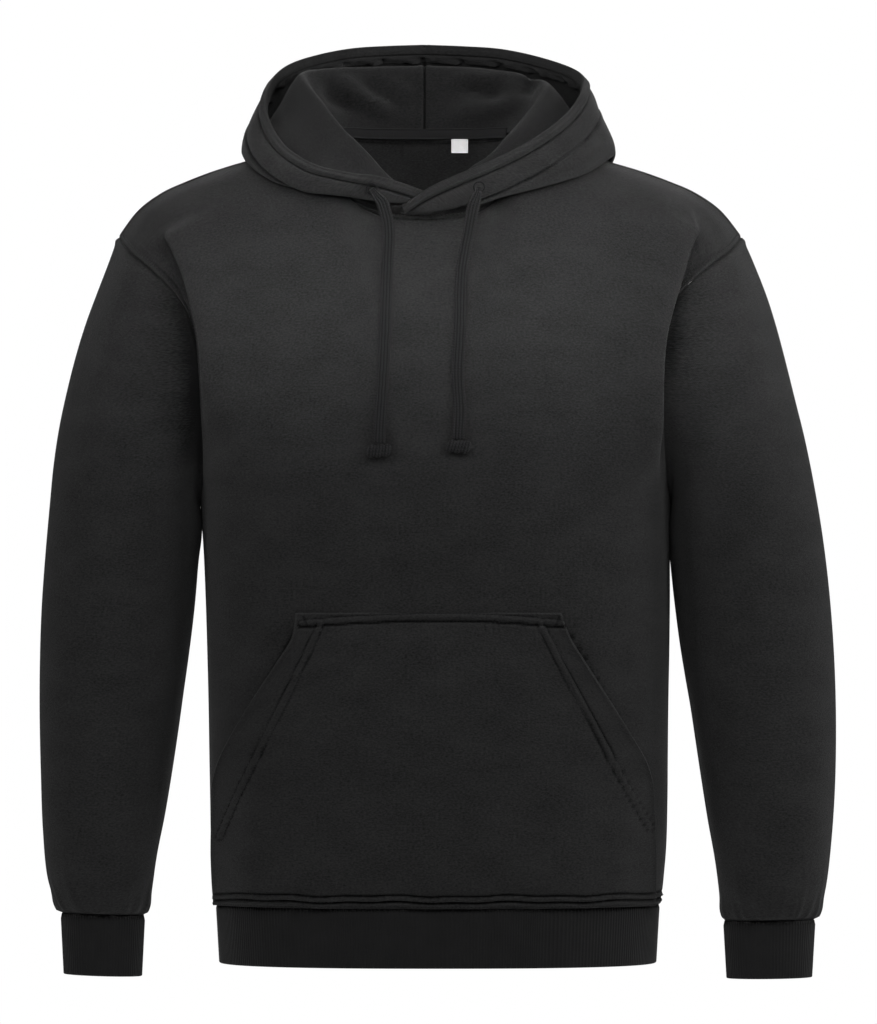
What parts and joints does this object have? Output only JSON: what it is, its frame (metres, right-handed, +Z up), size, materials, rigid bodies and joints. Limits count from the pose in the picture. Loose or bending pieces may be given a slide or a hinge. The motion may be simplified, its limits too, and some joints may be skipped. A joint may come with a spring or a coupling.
{
  "type": "pullover hoodie",
  "caption": "Plain pullover hoodie with drawcords and a kangaroo pocket, kept in the hollow form it takes when worn, arms hanging and hood down.",
  "frame": {"origin": "middle of the neck opening, between the shoulders, where the wearer holds the garment up", "axes": "+Z up the wearer's body, -Y out of the front, +X towards the wearer's left"},
  "size_m": [0.7159, 0.3184, 0.8424],
  "materials": {
    "black_fleece": "matt brushed-back knit",
    "black_rib": "matt rib knit",
    "black_braid": "flat cotton braid",
    "black_tape": "twill tape",
    "white_tab": "smooth woven tab"
  },
  "bodies": {
    "root": {"front": "black_fleece", "back": "black_fleece", "sleeve_right": "black_fleece", "sleeve_left": "black_fleece", "cuff_right": "black_rib", "cuff_left": "black_rib", "hem_band": "black_rib", "pocket": "black_fleece", "hood_right": "black_fleece", "hood_left": "black_fleece", "hood_lining_right": "black_fleece", "hood_lining_left": "black_fleece", "neck_tape": "black_tape", "label": "white_tab", "eyelet_right": "black_braid", "eyelet_left": "black_braid", "drawcord_right": "black_braid", "drawcord_left": "black_braid", "knot_right": "black_braid", "knot_left": "black_braid"}
  },
  "joints": []
}
